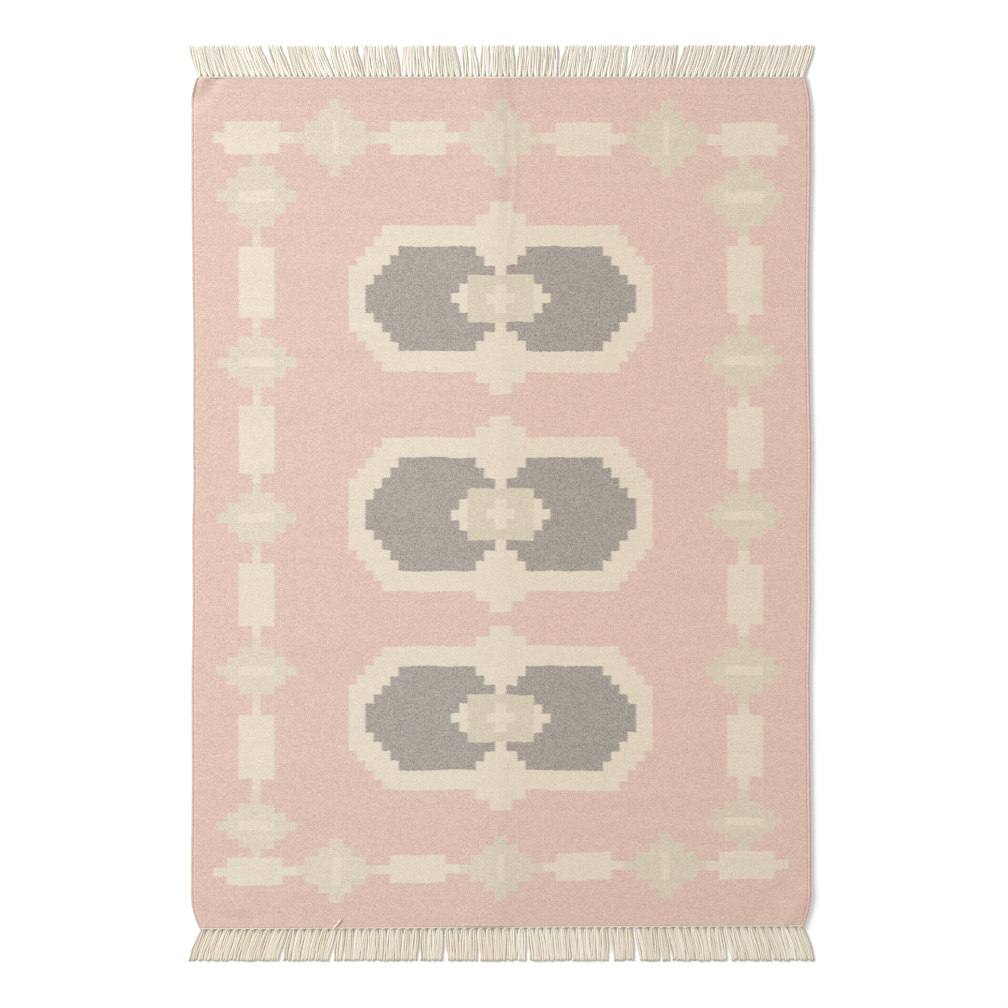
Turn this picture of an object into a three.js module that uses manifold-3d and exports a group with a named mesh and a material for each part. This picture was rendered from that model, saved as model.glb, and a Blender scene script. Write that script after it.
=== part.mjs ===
import * as THREE from "three";
import { mergeVertices } from "three/addons/utils/BufferGeometryUtils.js";
import Module from "manifold-3d";

// A flatwoven wool rug lying flat, with a cut fringe at each short end. Sizes are in millimetres.
// X runs across the rug, Y along it towards the far end, and Z up from the floor at 0.
const HALF_WIDTH = 600;
const CLOTH_THICKNESS = 4;
const EDGE_ROUNDING = 1.2;
const EDGE_ROUNDING_STEPS = 2;
const CORNER_SHARES = [0, 0.18, 0.4, 0.68, 1];

// Distance left between the cloth and each fringe's strip of knots.
const PART_GAP = 0.3;

const STRIP_DEPTH = 3;
const STRIP_HEIGHT = 3.8;

// The far end is tied in smaller knots, closer together, than the near end. A knot reaches outward
// from the strip and is half as wide as given where it leaves the strip and at its outer edge.
const KNOT_REACH = 6.4;
const KNOTS = {
  far: { count: 101, halfWidth: 4.6, outerHalfWidth: 4.1 },
  near: { count: 74, halfWidth: 6.1, outerHalfWidth: 5.5 },
};

// The locks of yarn that hang from each knot, with how far apart a knot's own locks and all the tips lie.
const LOCKS = {
  far: { perKnot: 1, width: 8.6, topWidth: 6.6, rootOffset: 0, tipOffset: 0, pitchLeast: 9.4 },
  near: { perKnot: 2, width: 4.8, topWidth: 3.2, rootOffset: 2.95, tipOffset: 3.9, pitchLeast: 5.9 },
};
const LOCK_LENGTH = 59.5;
const LOCK_LENGTH_SPREAD = 3;
const LOCK_HEIGHT = 3;
const LOCK_STEPS = 4;
const LOCK_TIP_WANDER = 1.4;
const GAP_REACH = 30;
const SPREADING_ROUNDS = 80;
const GRID = 1 / 1024;

// How far each corner of the cloth is drawn in, and the length of side it takes to reach full width.
const CORNERS = [
  { end: "far", side: "left", drawnIn: 11, over: 50 },
  { end: "far", side: "right", drawnIn: 11, over: 70 },
  { end: "near", side: "left", drawnIn: 17, over: 60 },
  { end: "near", side: "right", drawnIn: 14, over: 62 },
];

// The uneven sides: how far each one stands out beyond the half width at a place along the rug.
const SIDE_WAVES = [
  { y: -694, left: 2.2, right: 2.2 },
  { y: -539, left: 0.6, right: 0.7 },
  { y: -345, left: 1.5, right: -1.3 },
  { y: -199, left: -0.8, right: 1.6 },
  { y: -54, left: 0.3, right: 0.6 },
  { y: 43, left: -2.4, right: 1.8 },
  { y: 92, left: -1.2, right: 2.4 },
  { y: 286, left: -2, right: -1.5 },
  { y: 431, left: -0.2, right: -2.1 },
  { y: 625, left: 1.7, right: 1.2 },
];

// The cloth's two end lines: where each crosses the rug's middle, and how far it is out of square.
const END_LINES = {
  far: { outward: 1, middle: 824.3, slope: 0 },
  near: { outward: -1, middle: -824, slope: 0.0051 },
};

// How far the fringe's tips lie to the side of their roots, from corner to corner.
const FRINGE_LEAN = [
  { x: -590, far: -20, near: -23 },
  { x: -330, far: -21, near: -13 },
  { x: -200, far: -6, near: 0 },
  { x: 0, far: -2, near: 3 },
  { x: 200, far: 12, near: 6 },
  { x: 400, far: 19, near: 13 },
  { x: 590, far: 20, near: 22 },
];

// Where the locks part, and how wide the floor shows between their tips.
const FRINGE_GAPS = {
  far: [
    { x: -437, width: 15 },
    { x: -404, width: 9 },
    { x: -319, width: 12 },
    { x: -262, width: 12 },
    { x: -188, width: 14 },
    { x: -131, width: 12 },
    { x: -79, width: 12 },
    { x: -46, width: 17 },
    { x: 33, width: 12 },
    { x: 74, width: 9 },
    { x: 110, width: 12 },
    { x: 168, width: 6 },
    { x: 240, width: 15 },
    { x: 330, width: 13 },
  ],
  near: [
    { x: -410, width: 11 },
    { x: -322, width: 13 },
    { x: -160, width: 10 },
    { x: -112, width: 12 },
    { x: -50, width: 12 },
    { x: 48, width: 10 },
    { x: 208, width: 9 },
    { x: 250, width: 11 },
    { x: 320, width: 9 },
    { x: 426, width: 11 },
  ],
};

const wasm = await Module();
wasm.setup();

// Corners are rounded to a fine grid, so faces meant to lie on the floor lie exactly on it.
function solidOf(geometry) {
  const bare = geometry.clone();
  bare.deleteAttribute("normal");
  bare.deleteAttribute("uv");
  const merged = mergeVertices(bare, GRID);
  const mesh = new wasm.Mesh({
    numProp: 3,
    vertProperties: merged.attributes.position.array.map((value) => Math.round(value / GRID) * GRID),
    triVerts: new Uint32Array(merged.index.array),
  });
  return new wasm.Manifold(mesh);
}

function geometryOf(solid) {
  const mesh = solid.getMesh();
  const geometry = new THREE.BufferGeometry();
  geometry.setAttribute("position", new THREE.BufferAttribute(mesh.vertProperties, 3));
  geometry.setIndex(new THREE.BufferAttribute(mesh.triVerts, 1));
  return geometry;
}

// The value of one column of a table at a place between its rows.
function lookUp(rows, key, at, column) {
  const last = rows.length - 1;
  if (at <= rows[0][key]) return rows[0][column];
  if (at >= rows[last][key]) return rows[last][column];
  const upper = rows.findIndex((row) => row[key] >= at);
  const [a, b] = [rows[upper - 1], rows[upper]];
  const share = (at - a[key]) / (b[key] - a[key]);
  return THREE.MathUtils.lerp(a[column], b[column], share);
}

// A repeatable number from 0 to 1 for a lock.
function scatter(index, salt) {
  const wave = Math.sin(index * 12.9898 + salt * 78.233) * 43758.5453;
  return wave - Math.floor(wave);
}

function endLine(end, x) {
  return END_LINES[end].middle + END_LINES[end].slope * x;
}

// Half the rug's width on one side at a distance along it.
function sideReach(side, y) {
  let reach = HALF_WIDTH + lookUp(SIDE_WAVES, "y", y, side);
  for (const corner of CORNERS) {
    if (corner.side !== side) continue;
    const fromEnd = Math.abs(y - cornerHeight(corner));
    const share = Math.max(0, 1 - fromEnd / corner.over);
    reach -= corner.drawnIn * share * share;
  }
  return reach;
}

// Where a corner of the cloth lies along the rug.
function cornerHeight(corner) {
  const reach = HALF_WIDTH - corner.drawnIn;
  return endLine(corner.end, corner.side === "left" ? -reach : reach);
}

// A side of the outline as points from the near end to the far end, closest together at the corners.
function sidePoints(side) {
  const heights = SIDE_WAVES.map((row) => row.y);
  for (const corner of CORNERS) {
    if (corner.side !== side) continue;
    const start = cornerHeight(corner);
    const inward = -END_LINES[corner.end].outward;
    CORNER_SHARES.forEach((share) => heights.push(start + inward * corner.over * share));
  }
  heights.sort((a, b) => a - b);
  const sign = side === "left" ? -1 : 1;
  return heights.map((y) => new THREE.Vector2(sign * sideReach(side, y), y));
}

function makeCloth() {
  const outline = new THREE.Shape([...sidePoints("right"), ...sidePoints("left").reverse()]);
  const cloth = new THREE.ExtrudeGeometry(outline, {
    depth: CLOTH_THICKNESS - 2 * EDGE_ROUNDING,
    bevelEnabled: true,
    bevelThickness: EDGE_ROUNDING,
    bevelSize: EDGE_ROUNDING,
    bevelOffset: -EDGE_ROUNDING,
    bevelSegments: EDGE_ROUNDING_STEPS,
  });
  cloth.translate(0, 0, EDGE_ROUNDING);
  return cloth;
}

// The reach of an end of the cloth, from its left corner to its right one.
function endSpan(end) {
  const reach = (side) => {
    const corner = CORNERS.find((row) => row.end === end && row.side === side);
    return sideReach(side, cornerHeight(corner));
  };
  return { left: -reach("left"), right: reach("right") };
}

function knotPlace(end, knot) {
  const { left, right } = endSpan(end);
  return left + ((knot + 0.5) * (right - left)) / KNOTS[end].count;
}

// A fringe is made along a level line at Y = 0, the cloth's edge, and laid on the end line afterwards.
function makeStrip(end) {
  const { left, right } = endSpan(end);
  const outward = END_LINES[end].outward;
  const corner = (x, out) => new THREE.Vector2(x, outward * (PART_GAP + out));
  const points = [corner(right, 0), corner(left, 0), corner(left, STRIP_DEPTH)];
  const { count, halfWidth, outerHalfWidth } = KNOTS[end];
  for (let knot = 0; knot < count; knot++) {
    const x = knotPlace(end, knot);
    points.push(corner(x - halfWidth, STRIP_DEPTH), corner(x - outerHalfWidth, KNOT_REACH));
    points.push(corner(x + outerHalfWidth, KNOT_REACH), corner(x + halfWidth, STRIP_DEPTH));
  }
  points.push(corner(right, STRIP_DEPTH));
  return new THREE.ExtrudeGeometry(new THREE.Shape(points), {
    depth: STRIP_HEIGHT,
    bevelEnabled: false,
  });
}

// Roots at the knots, and tips that lean, gather and part but never cross.
function lockPlaces(end) {
  const { perKnot, rootOffset, tipOffset, pitchLeast } = LOCKS[end];
  const places = [];
  for (let index = 0; index < KNOTS[end].count * perKnot; index++) {
    const knot = knotPlace(end, Math.floor(index / perKnot));
    const hand = index % perKnot === 0 ? -1 : 1;
    let tip = knot + hand * tipOffset + lookUp(FRINGE_LEAN, "x", knot, end);
    tip += (scatter(index, END_LINES[end].outward) - 0.5) * 2 * LOCK_TIP_WANDER;
    for (const gap of FRINGE_GAPS[end]) {
      const away = knot - gap.x;
      tip += Math.sign(away) * (gap.width / 2) * Math.exp(-Math.abs(away) / GAP_REACH);
    }
    places.push({ root: knot + hand * rootOffset, tip });
  }
  for (let round = 0; round < SPREADING_ROUNDS; round++) {
    for (let index = 1; index < places.length; index++) {
      const short = pitchLeast - (places[index].tip - places[index - 1].tip);
      if (short <= 0) continue;
      places[index].tip += short / 2;
      places[index - 1].tip -= short / 2;
    }
  }
  return places;
}

// One lock of yarn, flat on the floor and narrower above, along a slow curve.
function makeLock(end, place, index) {
  const outward = END_LINES[end].outward;
  const start = outward * (PART_GAP + STRIP_DEPTH);
  const length = LOCK_LENGTH + (scatter(index, 3 + outward) - 0.5) * 2 * LOCK_LENGTH_SPREAD;
  const lean = place.tip - place.root;
  const path = new THREE.CubicBezierCurve3(
    new THREE.Vector3(place.root, start, 0),
    new THREE.Vector3(place.root + lean * 0.36, start + outward * length * 0.33, 0),
    new THREE.Vector3(place.root + lean * 0.8, start + outward * length * 0.67, 0),
    new THREE.Vector3(place.tip, start + outward * length, 0),
  );
  const { width, topWidth } = LOCKS[end];
  const section = new THREE.Shape([
    new THREE.Vector2(0, -width / 2),
    new THREE.Vector2(0, width / 2),
    new THREE.Vector2(-LOCK_HEIGHT, topWidth / 2),
    new THREE.Vector2(-LOCK_HEIGHT, -topWidth / 2),
  ]);
  return new THREE.ExtrudeGeometry(section, { steps: LOCK_STEPS, extrudePath: path });
}

function makeFringe(end) {
  const locks = lockPlaces(end).map((place, index) => solidOf(makeLock(end, place, index)));
  const fringe = wasm.Manifold.union([solidOf(makeStrip(end)), ...locks]);
  const laid = geometryOf(fringe.asOriginal());
  laid.rotateZ(Math.atan(END_LINES[end].slope));
  laid.translate(0, END_LINES[end].middle, 0);
  return laid;
}

const wool = new THREE.MeshStandardMaterial({ color: 0xdfc1b2, roughness: 0.95, metalness: 0 });
const warpYarn = new THREE.MeshStandardMaterial({ color: 0xe0d9c6, roughness: 0.92, metalness: 0 });

function addNode(group, name, geometry, material) {
  const mesh = new THREE.Mesh(geometry, material);
  mesh.name = name;
  group.add(mesh);
}

const rug = new THREE.Group();
rug.name = "flatweave_rug";
addNode(rug, "rug_cloth", makeCloth(), wool);
addNode(rug, "fringe_far", makeFringe("far"), warpYarn);
addNode(rug, "fringe_near", makeFringe("near"), warpYarn);

export default rug;
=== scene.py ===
import math

import bpy
import numpy as np
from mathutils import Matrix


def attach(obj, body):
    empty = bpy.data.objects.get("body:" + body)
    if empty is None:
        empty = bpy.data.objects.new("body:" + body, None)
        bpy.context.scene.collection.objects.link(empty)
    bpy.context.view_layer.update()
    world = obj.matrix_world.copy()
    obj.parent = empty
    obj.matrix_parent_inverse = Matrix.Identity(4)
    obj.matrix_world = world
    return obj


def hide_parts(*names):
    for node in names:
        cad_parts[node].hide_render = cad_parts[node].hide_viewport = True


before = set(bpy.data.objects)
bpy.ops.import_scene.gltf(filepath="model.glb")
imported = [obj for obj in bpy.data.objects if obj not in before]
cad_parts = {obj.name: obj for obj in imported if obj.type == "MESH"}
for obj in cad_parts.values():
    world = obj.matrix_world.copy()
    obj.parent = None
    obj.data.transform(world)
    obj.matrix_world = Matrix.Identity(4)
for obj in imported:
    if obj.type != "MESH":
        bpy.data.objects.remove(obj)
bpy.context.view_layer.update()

# A flatwoven wool rug lying flat. Tables and mesh arrays are in millimetres in the frame's axes,
# and a mesh is turned into metres when it is made.
MM = 0.001

# The weave: ribs run along the rug, one over each pair of warps, and a pick is one bead of weft on a rib.
RIBS = 224
PITCH = 1200 / RIBS
PICK = 4.6
RIB_HEIGHT = 0.05
RIB_ROUND = 0.8
RIB_PHASES = (0.0, 0.22, 0.5, 0.78)
CREST = 4.0

# The outermost rib on each side is the selvedge cord, higher than the rest, with a groove beside it.
SELVEDGE_RISE = 1.9
SELVEDGE_GROOVE = -0.6

# The rows of the cloth's mesh, as shares of its length: one beside the rim, then close ones at each end.
RIM_ROW = 0.0007
END_SHARE = 0.044
END_ROWS = 13
MIDDLE_ROWS = 73

# The cloth's rim: how far in its top begins, then how far in each ring below it lies, and its level. The
# bends of the outline fade towards the middle with a power of the place across.
TOP_INSET = 1.0
RIM_RINGS = ((0, 2.2), (0.4, 0.6), (1.2, 0))
SIDE_BEND = 6

# The long soft fold down the middle: where its crest lies and how far it rises, from near to far.
MIDDLE_FOLD = {
    "y": (-830, -740, -450, 0, 300, 560, 830),
    "x": (-16, -14, -8, -4, -4, -9, -12),
    "rise": (1.9, 1.5, 0.6, 0.5, 0.7, 1.6, 2.2),
    "left": (75, 80, 100, 100, 90, 75, 60),
    "right": (40, 36, 30, 28, 26, 24, 24),
}

# Short creases, each from one point to another, with its rise and half its width. A trough has a
# negative rise. A crease bows by a share of its length, and its ends taper over a multiple of its half width.
CREASE_BOW = 0.06
CREASE_TAPER = 1.6
CREASES = (
    {"start": (10, 480), "end": (8, 826), "rise": 0.36, "half": 6},
    {"start": (-598, 778), "end": (-586, 826), "rise": -0.8, "half": 6},
    {"start": (-606, 764), "end": (-544, 832), "rise": -1.2, "half": 13},
    {"start": (-606, 808), "end": (-580, 830), "rise": 1.5, "half": 17},
    {"start": (-608, -742), "end": (-512, -790), "rise": 0.9, "half": 13},
    {"start": (-600, -786), "end": (-470, -806), "rise": -0.6, "half": 11},
    {"start": (-500, -742), "end": (-452, -700), "rise": 0.45, "half": 12},
    {"start": (608, -752), "end": (548, -826), "rise": 0.9, "half": 15},
    {"start": (560, -742), "end": (500, -800), "rise": -0.45, "half": 16},
    {"start": (-604, 10), "end": (-512, 22), "rise": 0.7, "half": 9},
    {"start": (604, 640), "end": (560, 720), "rise": 0.4, "half": 14},
    {"start": (-400, -760), "end": (-330, -728), "rise": 0.35, "half": 10},
    {"start": (250, 430), "end": (590, 420), "rise": 0.25, "half": 12},
    {"start": (330, -280), "end": (590, -288), "rise": 0.25, "half": 12},
    {"start": (-560, -330), "end": (-300, -318), "rise": 0.2, "half": 14},
)

# The yarn colours as they look in even light: a lit copy for the rug's left half, and a copy with painted
# shade for its right half, where the light falls off past the middle fold. Each also has how strongly it
# varies within the weave.
YARNS = (
    {"name": "rose", "left": (224.5, 195.5, 181), "right": (223.5, 192.3, 177), "grain": 0.8},
    {"name": "cream", "left": (229.6, 219, 199.5), "right": (228.3, 214, 191), "grain": 0.5},
    {"name": "ecru", "left": (222.9, 212.3, 191), "right": (218.5, 205.5, 181), "grain": 0.66},
    {"name": "pale ecru", "left": (231, 220, 200), "right": (229, 214.5, 190), "grain": 0.5},
    {"name": "grey", "left": (172.8, 164.8, 155.6), "right": (167.8, 159.2, 149.8), "grain": 1.5},
    {"name": "deep ecru", "left": (216, 205, 182.5), "right": (216, 205, 182.5), "grain": 0.66},
)
ROSE, CREAM, ECRU, PALE, GREY, DEEP = range(6)
LIGHT_LEVEL = 1.22

# The three medallions, from the far end: centre, and a row's height inside, in the frame and in the tips.
MEDALLIONS = ((394.9, 18.45, 20.2, 22.4), (-23.2, 20.0, 19.7, 20.4), (-418.9, 18.35, 19.3, 19.8))
MEDALLION_LIMITS = (189.6, -226.0)

# How many rows lie inside a medallion, from its middle, and how many in its frame.
INNER_ROWS = 5.5
FRAME_ROWS = 2

# A medallion's rows from its middle outwards, in ribs from the middle line: where the whole figure,
# the grey field, the grey field's inner side, the ecru and the pale cross end.
MEDALLION_ROWS = (
    (55, 49, 18.4, 12.5, 5.4),
    (55, 49, 15.4, 12.5, 1.7),
    (55, 46, 11.6, 11.6, 0),
    (55, 43, 1.9, 0, 0),
    (52, 40, 5.6, 0, 0),
    (49, 37, 9, 0, 0),
    (46, 0, 0, 0, 0),
    (43, 0, 0, 0, 0),
    (9, 0, 0, 0, 0),
    (4.5, 0, 0, 0, 0),
    (0, 0, 0, 0, 0),
)

# The end borders: figures at even spacings, in ribs from the middle, and in rows from the border's
# middle line outwards. A border's line is where it crosses the middle, its slope and a row's height.
BORDER_SPACING = {"far": 30, "near": 29.8}
BORDER_LINES = {"far": (706.0, -0.0035, 21.3), "near": (-709.6, 0.0137, 17.9)}
BORDER_REACH = 104
BORDER_DIAMOND = (11, 11, 6, 2.4)
BORDER_BAR = (10, 10, 0, 0)
BORDER_STRIPE = 1.5

# The side chains of diamonds and bars, from the far end: centre, then a row's height or half a bar's length.
CHAIN_MIDDLE = {"left": 88.5, "right": 88.1}
CHAIN_LEFT = (
    (594.3, 23.1), (426.3, 68.9), (272.1, 19.4), (120.8, 66), (-30.1, 18.8),
    (-179, 61.1), (-327.4, 18.6), (-475.3, 61.6), (-628.1, 17.1),
)
CHAIN_RIGHT = (
    (591.2, 22.1), (431.2, 66), (275.5, 19.6), (124.6, 60.1), (-26.7, 17.1),
    (-179, 57.2), (-326.4, 17.5), (-471.9, 59.2), (-618.4, 15.5),
)
CHAIN_DIAMOND = (14.4, 10.7, 6.6, 2)
CHAIN_BAR = (6.5, 2, 2, 2)
CHAIN_STRIPE = 6.6
CHAIN_REACH = 700

# How many rows a diamond reaches from its centre.
DIAMOND_ROWS = 2.5

# A table of ribs is kept as shares of this many ribs, and a table of lengths as shares of this many
# millimetres.
RIB_TABLE = 64
LENGTH_TABLE = 1600

# The unevenness of colour edges: the height of a tooth at an upright edge, and how far a level edge strays
# from rib to rib and slowly along the rug.
TOOTH = 4.2
RAGGED = 2.6
STRAYING = 5

# How many ribs the lit left half and the right half with painted shade take to blend at the middle, and how
# far the hue drifts.
PAINTED_SHADE_BLEND = 34
BLUSH = 0.014

# Within a yarn: the size of the grain across and along, how much the light on it varies from bead to bead
# and in slow bands, how much darker the rug's ends are, and the few dark flecks.
GRAIN_SIZE = (2.1, 2.4)
BEAD_SHARE = 0.12
BAND_SHARE = 0.06
LIGHT_MEAN = 1.005
END_SHADE = -0.04
END_REACH = 830
FLECK_SHARE = 0.0006
FLECK_SHADE = -0.24

# The rug's two ends: which way is outward, and which point of a side lies there.
OUTWARD = {"far": 1, "near": -1}
END_POINT = {"far": -1, "near": 0}

# The fringe: how many tassels are tied at each end, the yarns in a tassel's lower and upper layer, and
# how far the tips lie to the side of the roots.
TASSELS = {"far": 101, "near": 74}
LAYERS = {"far": (3, 2), "near": (4, 3)}
YARN_RADIUS = {"far": (2.2, 1.6), "near": (2.3, 1.6)}
YARN_FLAT = 0.38
YARN_WAVE = {"far": 1.2, "near": 0.8}
YARN_SIDES = 7
YARN_STEPS = 15
FRINGE_LEAN = {
    "x": (-590, -530, -470, -330, -200, 0, 200, 400, 590),
    "far": (-13, -19, -23, -19, -6, -2, 12, 19, 20),
    "near": (-23, -20, -18, -13, 0, 3, 6, 13, 22),
}
FRINGE_TINT = {"x": (-590, 0, 590), "far": (-0.02, 0, -0.22), "near": (-0.22, 0, 0)}
FRINGE_GAPS = {
    "far": (
        (-437, 15), (-404, 9), (-319, 12), (-262, 12), (-188, 14), (-131, 12), (-79, 12),
        (-46, 17), (33, 12), (74, 9), (110, 12), (168, 6), (240, 15), (330, 13),
    ),
    "near": (
        (-410, 11), (-322, 13), (-160, 10), (-112, 12), (-50, 12),
        (48, 10), (208, 9), (250, 11), (320, 9), (426, 11),
    ),
}
GAP_REACH = 30
TIP_LINE = {"far": 888, "near": -891}
CORD_AWAY = {"far": 0.1, "near": 0.5}
CORD_TINT = {"far": 0.7, "near": 0.35}

# A yarn's place in its tassel, as shares of the tassel's width, and how it strays, in millimetres. A pair
# is for the lower and the upper layer, or the ends of a range.
ROOT_SPREAD = 0.5
TIP_SPREAD = (0.94, 1.08)
BELLY_SPREAD = 0.42
UPPER_SPREAD = 0.36
LEAN_SCATTER = 1.2
TIP_SCATTER = (0.6, 1.8)
TIP_CUT = (0.6, 4.0)
WAVE_TURNS = (1.2, 2.4)
RADIUS_RANGE = (0.92, 1.08)

# Along a yarn, as shares of its length: where its curve is pulled, how fast its belly and its lift end,
# and how far the root's rise and its pinch reach.
YARN_PULLS = (0.36, 0.8)
BELLY_SPEED = 1.3
LIFT_SPEED = 1.15
ROOT_REACH = 0.1
PINCH_REACH = 0.06

# How far from the edge a yarn starts and how high it lies, in millimetres, then how its ends are thinner.
YARN_START = 1.2
LIFT_MOST = 0.25
LAYER_RISE = 0.8
ROOT_RISE = 2.4
ROOT_PINCH = 0.25
TIP_WIDTH = 0.8

# How light a yarn is, from 0 to 1.
LAYER_TINT = (0.3, 0.52)
TINT_SCATTER = 0.1

# The wrap round a tassel, the twisted cord along the edge, and the one loose end that lies on the cloth.
WRAP = {
    "wide": 0.25, "away": 2.2, "slant": 0.4, "level": 2.5, "high": 1.4,
    "radius": 1.0, "steps": 14, "sides": 6, "tint": 0.62,
}
CORD = {
    "twist": 10.4, "swing": 0.25, "level": 4.1, "sway": 0.3,
    "radius": 1.0, "flat": 0.5, "steps": 450, "sides": 8,
}
STRAY = {
    "x": -325, "out": 2, "run": (15, 19), "bow": 1.2, "level": 4.2, "rise": 0.9,
    "radius": 0.85, "steps": 8, "sides": 6, "tint": 0.75,
}

# The undyed yarn at each end, from its darkest strands to its lightest, as it looks in even light.
FRINGE_SHADES = {
    "far": ((216, 208, 192), (234, 228, 214), (248, 245, 238)),
    "near": ((220, 209, 187), (237, 228, 209), (249, 244, 233)),
}


scatter = np.random.default_rng(41)


def make_object(name, points, faces, attributes):
    """A smooth mesh object from points in millimetres, with named numbers on its points."""
    mesh = bpy.data.meshes.new(name)
    mesh.from_pydata((np.asarray(points, float) * MM).tolist(), [], faces)
    mesh.polygons.foreach_set("use_smooth", np.ones(len(mesh.polygons), bool))
    for label, values in attributes.items():
        values = np.asarray(values, np.float32)
        if values.ndim == 1:
            layer = mesh.attributes.new(label, "FLOAT", "POINT")
            layer.data.foreach_set("value", values)
        else:
            layer = mesh.attributes.new(label, "FLOAT_VECTOR", "POINT")
            layer.data.foreach_set("vector", values.ravel())
    mesh.update()
    piece = bpy.data.objects.new(name, mesh)
    bpy.context.scene.collection.objects.link(piece)
    return piece


def node_outline(node):
    """The left and right sides of the cloth's outline, each as points from the near end to the far end."""
    points = np.array([vertex.co for vertex in node.data.vertices]) / MM
    middle = points[:, 2].max() / 2
    wall = points[np.abs(points[:, 2] - middle) < middle / 2]
    sides = []
    for sign in (-1, 1):
        side = wall[np.sign(wall[:, 0]) == sign]
        sides.append(side[np.argsort(side[:, 1], kind="stable")])
    return sides


left_side, right_side = node_outline(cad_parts["rug_cloth"])


def end_line(end, x):
    """How far along the rug the cloth ends, at a place across it."""
    left, right = left_side[END_POINT[end]], right_side[END_POINT[end]]
    return np.interp(x, (left[0], right[0]), (left[1], right[1]))


def crease_height(x, y):
    """How far the cloth's top stands up at its folds and creases."""
    fold = {
        name: np.interp(y, MIDDLE_FOLD["y"], MIDDLE_FOLD[name])
        for name in ("x", "rise", "left", "right")
    }
    away = x - fold["x"]
    width = np.where(away < 0, fold["left"], fold["right"])
    height = fold["rise"] * np.exp(-((away / width) ** 2))
    for crease in CREASES:
        start = np.array(crease["start"], float)
        run = np.array(crease["end"], float) - start
        length = math.hypot(*run)
        along = ((x - start[0]) * run[0] + (y - start[1]) * run[1]) / length
        across = ((x - start[0]) * -run[1] + (y - start[1]) * run[0]) / length
        across = across + CREASE_BOW * length * np.sin(math.pi * along / length)
        beyond = np.maximum(np.maximum(-along, along - length), 0)
        reach = (across / crease["half"]) ** 2 + (beyond / (CREASE_TAPER * crease["half"])) ** 2
        height = height + crease["rise"] * np.exp(-reach)
    return height


def make_cloth():
    """The woven cloth as one closed sheet: a ribbed top, a rounded edge and a flat underside."""
    ribs = np.arange(RIBS)[:, None] - RIBS / 2 + np.array(RIB_PHASES)[None, :]
    across = np.append(ribs.ravel(), RIBS / 2)
    profile = np.sin(math.pi * (across - np.floor(across))) ** RIB_ROUND
    profile[-1] = 0
    half = RIBS / 2
    rib_height = np.where(np.abs(across) > half - 1, RIB_HEIGHT * SELVEDGE_RISE, RIB_HEIGHT)
    groove = np.where(np.abs(np.abs(across) - (half - 1)) < 0.01, SELVEDGE_GROOVE, 0)
    end_rows = np.concatenate(((0, RIM_ROW), np.linspace(0, END_SHARE, END_ROWS)[1:-1]))
    middle_rows = np.linspace(END_SHARE, 1 - END_SHARE, MIDDLE_ROWS)
    along = np.concatenate((end_rows, middle_rows, 1 - end_rows[::-1]))

    flat_x = across * PITCH
    rings = []
    for inset, level in ((TOP_INSET, None), *RIM_RINGS):
        x = np.broadcast_to(flat_x, (len(along), len(across)))
        for _ in range(2):
            near = end_line("near", x) + inset
            far = end_line("far", x) - inset
            y = near + along[:, None] * (far - near)
            left = np.interp(y, left_side[:, 1], left_side[:, 0]) + inset
            right = np.interp(y, right_side[:, 1], right_side[:, 0]) - inset
            edge = np.where(across < 0, -left, right)
            x = flat_x + np.sign(across) * (edge - half * PITCH) * np.abs(across / half) ** SIDE_BEND
        if level is None:
            z = CREST - RIB_HEIGHT + profile * rib_height + groove + crease_height(x, y)
        else:
            z = np.full_like(x, level)
        rings.append((np.stack((x, y, z), -1), np.stack(np.broadcast_arrays(across, y, 0.0), -1)))

    rows, columns = rings[0][0].shape[:2]
    points = [rings[0][0].reshape(-1, 3)]
    weave = [rings[0][1].reshape(-1, 3)]
    grid = np.arange(rows * columns).reshape(rows, columns)
    faces = np.stack((grid[:-1, :-1], grid[:-1, 1:], grid[1:, 1:], grid[1:, :-1]), -1).reshape(-1, 4).tolist()

    border = np.concatenate((grid[0, :-1], grid[:-1, -1], grid[-1, :0:-1], grid[:0:-1, 0]))
    previous = border
    count = rows * columns
    for place, marks in rings[1:]:
        points.append(place.reshape(-1, 3)[border])
        weave.append(marks.reshape(-1, 3)[border])
        ring = count + np.arange(len(border))
        count += len(border)
        sides = np.stack((previous, ring, np.roll(ring, -1), np.roll(previous, -1)), -1)
        faces.extend(sides.tolist())
        previous = ring

    bottom = previous
    right_rim = bottom[columns - 1:columns - 1 + rows]
    left_rim = np.concatenate((bottom[:1], bottom[:2 * columns + rows - 4:-1]))[:rows]
    for row in range(1, rows - 2):
        faces.append([left_rim[row], left_rim[row + 1], right_rim[row + 1], right_rim[row]])
    faces.append([*bottom[:columns][::-1], left_rim[1], right_rim[1]])
    corner = columns + rows - 2
    far_rim = bottom[corner:corner + columns]
    faces.append([*far_rim[::-1], right_rim[rows - 2], left_rim[rows - 2]])
    faces = [[int(index) for index in face] for face in faces]
    return make_object("woven_cloth", np.concatenate(points), faces, {"weave": np.concatenate(weave)})


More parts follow.
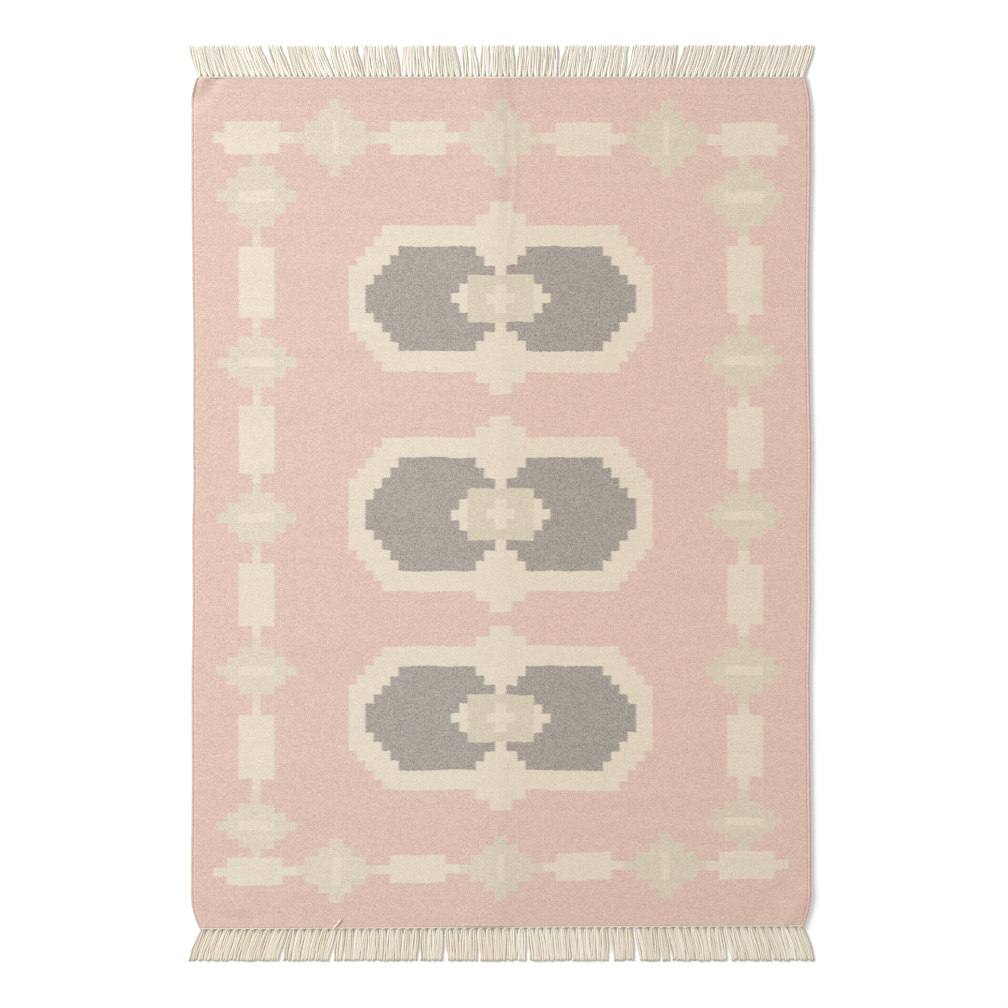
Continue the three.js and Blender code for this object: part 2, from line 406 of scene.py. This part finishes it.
class Tubes:
    """Many tubes gathered into one mesh, each with a place along it and round it, and a tint."""

    def __init__(self):
        self.points = []
        self.faces = []
        self.strand = []
        self.tint = []
        self.count = 0

    def add(self, path, radius, sides, tint, flatten=1.0, closed=False):
        path = np.asarray(path, float)
        steps = len(path)
        radius = np.broadcast_to(radius, steps)
        if closed:
            ahead = np.roll(path, -1, 0) - np.roll(path, 1, 0)
        else:
            ahead = np.gradient(path, axis=0)
        ahead /= np.linalg.norm(ahead, axis=1)[:, None]
        lead = np.array((0.0, 0.0, 1.0))
        if np.abs(ahead[:, 2]).max() > 0.9:
            lead = np.array((0.0, 1.0, 0.0))
        aside = np.cross(ahead, lead)
        aside /= np.linalg.norm(aside, axis=1)[:, None]
        above = np.cross(aside, ahead)
        turn = np.arange(sides) * 2 * math.pi / sides
        ring = (
            np.cos(turn)[None, :, None] * aside[:, None, :]
            + flatten * np.sin(turn)[None, :, None] * above[:, None, :]
        )
        tube = path[:, None, :] + radius[:, None, None] * ring
        travelled = np.concatenate(([0], np.cumsum(np.linalg.norm(np.diff(path, axis=0), axis=1))))
        strand = np.empty((steps, sides, 3))
        strand[..., 0] = travelled[:, None]
        strand[..., 1] = np.cos(turn)
        strand[..., 2] = np.sin(turn)
        index = self.count + np.arange(steps * sides).reshape(steps, sides)
        beside = np.roll(index, -1, 1)
        if closed:
            quads = np.stack((index, beside, np.roll(beside, -1, 0), np.roll(index, -1, 0)), -1)
        else:
            quads = np.stack((index[:-1], beside[:-1], beside[1:], index[1:]), -1)
        self.faces.extend(quads.reshape(-1, 4).tolist())
        if not closed:
            self.faces.append(index[0, ::-1].tolist())
            self.faces.append(index[-1].tolist())
        self.points.append(tube.reshape(-1, 3))
        self.strand.append(strand.reshape(-1, 3))
        self.tint.append(np.full(steps * sides, tint))
        self.count += steps * sides

    def make(self, name):
        attributes = {"strand": np.concatenate(self.strand), "tint": np.concatenate(self.tint)}
        return make_object(name, np.concatenate(self.points), self.faces, attributes)


def bezier(share, start, lead, trail, stop):
    """A point on a cubic curve at each share of the way."""
    rest = 1 - share
    return rest**3 * start + 3 * rest**2 * share * lead + 3 * rest * share**2 * trail + share**3 * stop


def clamped(tint):
    """A tint kept from 0 to 1."""
    return min(max(tint, 0), 1)


def add_yarn(tubes, end, tassel, layer, side):
    """One loose yarn of a tassel, from under its wrap to its cut tip."""
    share = np.linspace(0, 1, YARN_STEPS + 1)
    x, edge = tassel["x"], tassel["edge"]
    spread = side * tassel["pitch"]
    root = x + spread * ROOT_SPREAD
    tip = x + tassel["lean"] + spread * scatter.uniform(*TIP_SPREAD)
    tip += scatter.normal(0, TIP_SCATTER[layer])
    reach = abs(TIP_LINE[end] - edge) - scatter.uniform(*TIP_CUT)
    lead, trail = (root + (tip - root) * pull for pull in YARN_PULLS)
    px = bezier(share, root, lead, trail, tip)
    px += spread * BELLY_SPREAD * np.sin(math.pi * np.minimum(share * BELLY_SPEED, 1)) ** 0.5
    wave = scatter.normal(0, YARN_WAVE[end])
    px += wave * np.sin(math.pi * share * scatter.uniform(*WAVE_TURNS)) * share
    py = edge + OUTWARD[end] * (YARN_START + reach * share)
    radius = YARN_RADIUS[end][layer] * scatter.uniform(*RADIUS_RANGE)
    radius = radius * (1 - ROOT_PINCH * np.exp(-share / PINCH_REACH))
    radius[-1] *= TIP_WIDTH
    lift = scatter.uniform(0, LIFT_MOST) * np.sin(math.pi * np.clip(share * LIFT_SPEED, 0, 1)) ** 2
    rise = layer * LAYER_RISE * (1 - 0.5 * share**2)
    pz = YARN_FLAT * radius + rise + lift + ROOT_RISE * np.exp(-share / ROOT_REACH)
    tint = LAYER_TINT[layer] + tassel["tint"] + scatter.normal(0, TINT_SCATTER)
    tubes.add(np.stack((px, py, pz), -1), radius, YARN_SIDES, clamped(tint), YARN_FLAT)


def add_wrap(tubes, end, tassel):
    """The yarn tied round a tassel at the cloth's edge."""
    turn = np.linspace(0, 2 * math.pi, WRAP["steps"], endpoint=False)
    px = tassel["x"] + tassel["pitch"] * WRAP["wide"] * np.cos(turn)
    py = tassel["edge"] + OUTWARD[end] * (WRAP["away"] + WRAP["slant"] * np.sin(turn))
    pz = WRAP["level"] + WRAP["high"] * np.sin(turn)
    tint = clamped(WRAP["tint"] + scatter.normal(0, TINT_SCATTER))
    tubes.add(np.stack((px, py, pz), -1), WRAP["radius"], WRAP["sides"], tint, closed=True)


def add_cord(tubes, end, left, right):
    """The two plies of the cord along the cloth's edge."""
    px = np.linspace(left, right, CORD["steps"] + 1)
    for ply in (0, math.pi):
        turn = 2 * math.pi * (px - left) / CORD["twist"] + ply
        py = end_line(end, px) + OUTWARD[end] * (CORD_AWAY[end] + CORD["swing"] * np.cos(turn))
        pz = CORD["level"] + CORD["sway"] * np.sin(turn)
        tubes.add(np.stack((px, py, pz), -1), CORD["radius"], CORD["sides"], CORD_TINT[end], CORD["flat"])


def add_stray(tubes):
    """The one loose end of yarn that lies on the cloth, at the near end."""
    share = np.linspace(0, 1, STRAY["steps"] + 1)
    px = STRAY["x"] + STRAY["run"][0] * share + STRAY["bow"] * np.sin(3 * share)
    py = float(end_line("near", STRAY["x"])) - STRAY["out"] + STRAY["run"][1] * share
    pz = STRAY["level"] + STRAY["rise"] * share**0.3
    tubes.add(np.stack((px, py, pz), -1), STRAY["radius"], STRAY["sides"], STRAY["tint"])


def make_fringe(end):
    """The tied warp ends at one end of the rug: an edge cord, a wrap at each tassel, and the loose yarns."""
    left, right = left_side[END_POINT[end], 0], right_side[END_POINT[end], 0]
    tubes = Tubes()
    pitch = (right - left) / TASSELS[end]
    for x in left + (np.arange(TASSELS[end]) + 0.5) * pitch:
        lean = np.interp(x, FRINGE_LEAN["x"], FRINGE_LEAN[end])
        for gap, width in FRINGE_GAPS[end]:
            lean += np.sign(x - gap) * width / 2 * math.exp(-abs(x - gap) / GAP_REACH)
        lean += scatter.normal(0, LEAN_SCATTER)
        tint = np.interp(x, FRINGE_TINT["x"], FRINGE_TINT[end]) + scatter.normal(0, TINT_SCATTER)
        tassel = {"x": x, "edge": float(end_line(end, x)), "pitch": pitch, "lean": lean, "tint": tint}
        for layer, yarns in enumerate(LAYERS[end]):
            for yarn in range(yarns):
                side = (yarn + 0.5) / yarns - 0.5
                if layer == 1:
                    side = scatter.uniform(-UPPER_SPREAD, UPPER_SPREAD)
                add_yarn(tubes, end, tassel, layer, side)
        add_wrap(tubes, end, tassel)
    add_cord(tubes, end, left, right)
    if end == "near":
        add_stray(tubes)
    return tubes.make("fringe_yarns_" + end)


class Field:
    """A number at each point of a surface, worked out from other numbers there."""

    def __init__(self, tree, socket):
        self.tree = tree
        self.socket = socket

    def made(self, operation, *others):
        node = self.tree.nodes.new("ShaderNodeMath")
        node.operation = operation
        for entry, value in zip(node.inputs, (self, *others)):
            plug(self.tree, entry, value)
        return Field(self.tree, node.outputs[0])

    def __add__(self, other):
        return self.made("ADD", other)

    def __mul__(self, other):
        return self.made("MULTIPLY", other)

    def __sub__(self, other):
        return self.made("SUBTRACT", other)

    def __truediv__(self, other):
        return self.made("DIVIDE", other)

    def __abs__(self):
        return self.made("ABSOLUTE")

    def above(self, other):
        return self.made("GREATER_THAN", other)

    def below(self, other):
        return self.made("LESS_THAN", other)

    def least(self, other):
        return self.made("MINIMUM", other)

    def most(self, other):
        return self.made("MAXIMUM", other)

    def floor(self):
        return self.made("FLOOR")

    def rest(self):
        return self.made("FRACT")

    def sine(self):
        return self.made("SINE")

    def power(self, exponent):
        return self.made("POWER", exponent)

    def times_plus(self, factor, extra):
        return self.made("MULTIPLY_ADD", factor, extra)

    def turned(self):
        """1 where this is 0, and 0 where it is 1."""
        return self.times_plus(-1, 1)


def plug(tree, entry, value):
    if isinstance(value, Field):
        tree.links.new(value.socket, entry)
    else:
        entry.default_value = value


def chosen(mask, inside, outside):
    """The inside value where the mask is 1, and the outside value where it is 0."""
    if isinstance(inside, Field) or isinstance(outside, Field):
        gap = inside - outside if isinstance(inside, Field) else outside * -1 + inside
        return gap.times_plus(mask, outside)
    return mask.times_plus(inside - outside, outside)


def vector_of(tree, *parts):
    node = tree.nodes.new("ShaderNodeCombineXYZ")
    for entry, value in zip(node.inputs, parts):
        plug(tree, entry, value)
    return node.outputs[0]


def named_vector(tree, label):
    """The three numbers of a named vector on the surface's points."""
    node = tree.nodes.new("ShaderNodeAttribute")
    node.attribute_name = label
    split = tree.nodes.new("ShaderNodeSeparateXYZ")
    tree.links.new(node.outputs["Vector"], split.inputs[0])
    return [Field(tree, output) for output in split.outputs]


def drift(tree, x, y, detail=1.0):
    """A smooth number near a half that wanders from 0 to 1 over about a unit of x and y."""
    node = tree.nodes.new("ShaderNodeTexNoise")
    node.noise_dimensions = "2D"
    node.inputs["Scale"].default_value = 1.0
    node.inputs["Detail"].default_value = detail
    tree.links.new(vector_of(tree, x, y), node.inputs["Vector"])
    return Field(tree, node.outputs["Fac"])


def chance(tree, x, y):
    """A number from 0 to 1 that differs from one whole x or y to the next."""
    node = tree.nodes.new("ShaderNodeTexWhiteNoise")
    node.noise_dimensions = "2D"
    tree.links.new(vector_of(tree, x, y), node.inputs["Vector"])
    return Field(tree, node.outputs["Value"])


def stepped(row, colours):
    """A colour for each whole number, counted from 0."""
    tree = row.tree
    node = tree.nodes.new("ShaderNodeValToRGB")
    ramp = node.color_ramp
    ramp.interpolation = "CONSTANT"
    ramp.elements[0].position = 0
    ramp.elements[1].position = 1 / len(colours)
    for index in range(2, len(colours)):
        ramp.elements.new(index / len(colours))
    for element, colour in zip(ramp.elements, colours):
        element.color = (*colour, 1)
    place = row.times_plus(1 / len(colours), 0.5 / len(colours))
    tree.links.new(place.socket, node.inputs["Fac"])
    return node.outputs["Color"]


def look_up(row, table, scale):
    """Up to three numbers from the row of a table, counted from 0."""
    tree = row.tree
    colours = [[value / scale for value in values] + [0] * (3 - len(values)) for values in table]
    split = tree.nodes.new("ShaderNodeSeparateColor")
    tree.links.new(stepped(row, colours), split.inputs[0])
    return [Field(tree, output) * scale for output in split.outputs[:len(table[0])]]


def linear(shade):
    """A colour as seen on a screen, as an amount of light."""
    values = [value / 255 for value in shade]
    return [value / 12.92 if value <= 0.04045 else ((value + 0.055) / 1.055) ** 2.4 for value in values]


def albedo(shade):
    """The share of light that a yarn gives back, from its colour as it looks in even light."""
    return [value / LIGHT_LEVEL for value in linear(shade)]


def medallion_yarn(rib, y, yarn):
    """The yarn number, changed where a medallion lies."""
    far, middle, near = MEDALLIONS
    beyond_far = y.above(MEDALLION_LIMITS[0])
    beyond_near = y.above(MEDALLION_LIMITS[1])
    values = []
    for column in range(4):
        step = beyond_near.times_plus(middle[column] - near[column], near[column])
        values.append(beyond_far.times_plus(far[column] - middle[column], step))
    centre, inner, outer, tip = values
    away = abs(y - centre)
    beyond = away - inner * INNER_ROWS
    row = (away / inner).least(INNER_ROWS) + (beyond / outer).most(0).least(FRAME_ROWS)
    row = row + ((beyond - outer * FRAME_ROWS) / tip).most(0)
    row = (row + 0.5).floor().least(len(MEDALLION_ROWS) - 1)
    whole, grey_out, grey_in = look_up(row, [halves[:3] for halves in MEDALLION_ROWS], RIB_TABLE)
    yarn = chosen(rib.below(whole), CREAM, yarn)
    yarn = chosen(rib.below(grey_out) * rib.above(grey_in), GREY, yarn)
    ecru, pale = look_up(row, [halves[3:] for halves in MEDALLION_ROWS], RIB_TABLE)
    yarn = chosen(rib.below(ecru), DEEP, yarn)
    return chosen(rib.below(pale), PALE, yarn)


def border_yarn(rib, across, y, yarn):
    """The yarn number, changed where a border lies along an end."""
    at_far = y.above(0)
    far, near = BORDER_LINES["far"], BORDER_LINES["near"]
    slope = at_far.times_plus((far[1] - near[1]) * PITCH, near[1] * PITCH)
    line = slope.times_plus(across, at_far.times_plus(far[0] - near[0], near[0]))
    height = at_far.times_plus(far[2] - near[2], near[2])
    row = (abs(y - line) / height + 0.5).floor()
    spacing = at_far.times_plus(BORDER_SPACING["far"] - BORDER_SPACING["near"], BORDER_SPACING["near"])
    figure = (rib / spacing + 0.5).floor()
    away = abs(rib - figure * spacing)
    table = [(half,) for kind in (BORDER_DIAMOND, BORDER_BAR) * 2 for half in kind]
    (half,) = look_up(figure.least(3) * len(BORDER_BAR) + row.least(3), table, RIB_TABLE)
    shape = away.below(half) * row.below(3.5)
    shape = shape.most(row.below(0.5)) * rib.below(BORDER_REACH)
    diamond = (figure.least(3) * 0.5).rest().below(0.25)
    yarn = chosen(shape, chosen(diamond, ECRU, CREAM), yarn)
    return chosen(shape * diamond * away.below(BORDER_STRIPE) * row.below(1.5), PALE, yarn)


def chain_yarn(rib, across, y, yarn):
    """The yarn number, changed where a chain of diamonds and bars runs along a side."""
    on_right = across.above(0)
    zone = None
    for index in range(len(CHAIN_LEFT) - 1):
        limits = []
        for chain in (CHAIN_LEFT, CHAIN_RIGHT):
            upper, lower = chain[index], chain[index + 1]
            upper_rows, lower_rows = (DIAMOND_ROWS, 1) if index % 2 == 0 else (1, DIAMOND_ROWS)
            limits.append((upper[0] - upper[1] * upper_rows + lower[0] + lower[1] * lower_rows) / 2)
        passed = y.below(on_right.times_plus(limits[1] - limits[0], limits[0]))
        zone = passed if zone is None else zone + passed
    is_bar = (zone * 0.5).rest().above(0.25)
    table = []
    for chain in (CHAIN_LEFT, CHAIN_RIGHT):
        for index, (centre, size) in enumerate(chain):
            table.append((centre + LENGTH_TABLE / 2, size if index % 2 == 0 else 2 * size))
    centre, height = look_up(on_right.times_plus(len(CHAIN_LEFT), zone), table, LENGTH_TABLE)
    row = (abs(y - centre + LENGTH_TABLE / 2) / height + 0.5).floor().least(3)
    halves = [(value,) for value in CHAIN_DIAMOND + CHAIN_BAR]
    (half,) = look_up(is_bar.times_plus(len(CHAIN_DIAMOND), row), halves, RIB_TABLE)
    middle = on_right.times_plus(CHAIN_MIDDLE["right"] - CHAIN_MIDDLE["left"], CHAIN_MIDDLE["left"])
    away = abs(rib - middle)
    shape = away.below(half) * abs(y).below(CHAIN_REACH)
    yarn = chosen(shape, chosen(is_bar, CREAM, ECRU), yarn)
    stripe = away.below(CHAIN_STRIPE) * row.below(0.5) * is_bar.turned()
    return chosen(shape * stripe, PALE, yarn)


def lit_or_shaded_yarn_colour(yarn, half):
    """The colour of each yarn number, on one half of the rug; the right half's colours carry painted shade.
    """
    return stepped(yarn, [albedo(entry[half]) for entry in YARNS])


def new_material(name):
    """A new material, with its nodes and its shader."""
    material = bpy.data.materials.new(name)
    material.use_nodes = True
    return material, material.node_tree, material.node_tree.nodes["Principled BSDF"]


def finish_fabric(shader, height, depth, rough, sheen):
    """Fine relief of a depth in millimetres, and a dull finish with a sheen from loose fibres."""
    tree = height.tree
    bump = tree.nodes.new("ShaderNodeBump")
    bump.inputs["Strength"].default_value = 1.0
    bump.inputs["Distance"].default_value = depth * MM
    tree.links.new(height.socket, bump.inputs["Height"])
    tree.links.new(bump.outputs["Normal"], shader.inputs["Normal"])
    tree.links.new(rough.socket, shader.inputs["Roughness"])
    shader.inputs["Specular IOR Level"].default_value = 0.2
    shader.inputs["Sheen Weight"].default_value = sheen
    shader.inputs["Sheen Roughness"].default_value = 0.5


def make_wool():
    """Wool in a weft-faced weave: beads of weft packed over the ribs, in six yarns laid out by the chart."""
    material, tree, shader = new_material("wool_weave")
    across, y, _ = named_vector(tree, "weave")

    whole_rib = across.floor()
    offset = (whole_rib * 0.5).rest()
    bead_row = y / PICK + offset
    whole_bead = bead_row.floor()

    # Alternate picks reach half a rib further at an upright edge, and a level edge is never quite level.
    teeth = (y / TOOTH).rest().above(0.5) * 0.5 - 0.25
    rib = abs((across + teeth).floor() + 0.5)
    ragged = drift(tree, whole_rib * 3.7, y / 12, 0.0) * RAGGED
    slow = drift(tree, across / 11, y / 160, 0.0) * STRAYING
    chart_y = y + ragged + slow - (RAGGED + STRAYING) / 2
    yarn = chain_yarn(rib, across, chart_y, ROSE)
    yarn = border_yarn(rib, across, chart_y, yarn)
    yarn = medallion_yarn(rib, chart_y, yarn)

    # The right half's colours are painted shade, for the light that falls off past the middle fold; the
    # halves blend at the middle.
    lit_and_shaded_dyes = [lit_or_shaded_yarn_colour(yarn, half) for half in ("left", "right")]
    dye = tree.nodes.new("ShaderNodeMix")
    dye.data_type = "RGBA"
    tree.links.new(across.times_plus(1 / PAINTED_SHADE_BLEND, 0.5).socket, dye.inputs["Factor"])
    tree.links.new(lit_and_shaded_dyes[0], dye.inputs["A"])
    tree.links.new(lit_and_shaded_dyes[1], dye.inputs["B"])

    blush = tree.nodes.new("ShaderNodeHueSaturation")
    hue = drift(tree, across / 6, y / 30, 1.0).times_plus(BLUSH, 0.5 - BLUSH / 2)
    tree.links.new(hue.socket, blush.inputs["Hue"])
    tree.links.new(dye.outputs["Result"], blush.inputs["Color"])

    # The spin varies within a bead and from bead to bead, and the dye in slow bands across the rug.
    (strength,) = look_up(yarn, [(entry["grain"],) for entry in YARNS], 1)
    grain = drift(tree, across * (PITCH / GRAIN_SIZE[0]), y / GRAIN_SIZE[1], 1.0)
    bead = chance(tree, whole_rib, whole_bead)
    band = drift(tree, across / 130, y / 24, 2.0)
    light = (grain + bead * BEAD_SHARE - (0.5 + BEAD_SHARE / 2)) * strength
    light = light + band * BAND_SHARE + (LIGHT_MEAN - BAND_SHARE / 2)
    light = (abs(y) / END_REACH).power(4) * END_SHADE + light
    fleck = chance(tree, (across * 2).floor() + 71, (bead_row * 2).floor()).above(1 - FLECK_SHARE)
    light = light * fleck.times_plus(FLECK_SHADE, 1)
    paint = tree.nodes.new("ShaderNodeVectorMath")
    paint.operation = "SCALE"
    tree.links.new(blush.outputs["Color"], paint.inputs[0])
    tree.links.new(light.socket, paint.inputs["Scale"])
    tree.links.new(paint.outputs[0], shader.inputs["Base Color"])

    # Each bead of weft is a small round lump on its rib, with loose fibres over it.
    round_across = (across.rest() * math.pi).sine()
    round_along = (bead_row.rest() * math.pi).sine().power(0.6)
    fibres = drift(tree, across * 9, y * 1.7, 2.0)
    height = round_across * 0.04 + round_along * 0.2 + grain * 0.6 + fibres * 0.2
    finish_fabric(shader, height, 0.25, fibres.times_plus(0.16, 0.86), 0.12)
    return material


def make_yarn(end):
    """Plied undyed yarn, with a tint for each strand and the twist of its plies."""
    material, tree, shader = new_material("fringe_yarn_" + end)
    along, turn_x, turn_y = named_vector(tree, "strand")
    node = tree.nodes.new("ShaderNodeAttribute")
    node.attribute_name = "tint"
    tint = Field(tree, node.outputs["Fac"])
    twist = turn_y.made("ARCTAN2", turn_x) * 2 + along * (2 * math.pi / 5.2)
    ply = twist.sine() * 0.5 + 0.5
    fibres = drift(tree, along * 0.9 + tint * 40, twist * 0.8, 2.0)
    ramp = tree.nodes.new("ShaderNodeValToRGB")
    ramp.color_ramp.elements[0].position = 0
    ramp.color_ramp.elements[1].position = 1
    ramp.color_ramp.elements.new(0.5)
    for element, shade in zip(ramp.color_ramp.elements, FRINGE_SHADES[end]):
        element.color = (*albedo(shade), 1)
    place = tint + (fibres - 0.5) * 0.3 + (ply - 0.5) * 0.05
    tree.links.new(place.socket, ramp.inputs["Fac"])
    tree.links.new(ramp.outputs["Color"], shader.inputs["Base Color"])
    height = ply.power(0.6) * 0.7 + fibres * 0.3
    finish_fabric(shader, height, 0.03, fibres.times_plus(0.2, 0.8), 0.05)
    return material


def make_floor():
    """A plain pale floor under the rug."""
    material, _, shader = new_material("pale_floor")
    shader.inputs["Base Color"].default_value = (0.945, 0.945, 0.945, 1)
    shader.inputs["Roughness"].default_value = 0.9
    shader.inputs["Specular IOR Level"].default_value = 0.0
    reach = 8000
    corners = [(-reach, -reach, -0.2), (reach, -reach, -0.2), (reach, reach, -0.2), (-reach, reach, -0.2)]
    floor = make_object("floor", corners, [[0, 1, 2, 3]], {})
    floor.data.materials.append(material)
    return floor


def make_light():
    """Soft daylight from all round, and one broad lamp far off to the upper left."""
    world = bpy.data.worlds.new("studio")
    world.use_nodes = True
    world.node_tree.nodes["Background"].inputs["Color"].default_value = (1, 1, 1, 1)
    world.node_tree.nodes["Background"].inputs["Strength"].default_value = 0.67
    bpy.context.scene.world = world
    lamp = bpy.data.lights.new("broad_lamp", "AREA")
    lamp.shape = "DISK"
    lamp.size = 4.5
    lamp.energy = 1900
    place = bpy.data.objects.new("broad_lamp", lamp)
    place.location = (-9.0, 5.07, 3.76)
    place.rotation_mode = "QUATERNION"
    place.rotation_quaternion = (-place.location).to_track_quat("-Z", "Y")
    place.visible_camera = False
    bpy.context.scene.collection.objects.link(place)


def make_camera():
    """A camera straight above the rug."""
    lens = bpy.data.cameras.new("overhead")
    lens.lens = 70
    lens.sensor_width = 36
    camera = bpy.data.objects.new("overhead", lens)
    camera.location = (0.0063, -0.0034, 3.806)
    bpy.context.scene.collection.objects.link(camera)
    bpy.context.scene.camera = camera


make_camera()
make_light()
make_floor()

wool = make_wool()
cloth = make_cloth()
cloth.data.materials.append(wool)
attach(cloth, "root")
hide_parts("rug_cloth")
for end in ("far", "near"):
    fringe = make_fringe(end)
    fringe.data.materials.append(make_yarn(end))
    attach(fringe, "root")
    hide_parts("fringe_" + end)

bpy.context.scene.view_settings.view_transform = "Standard"
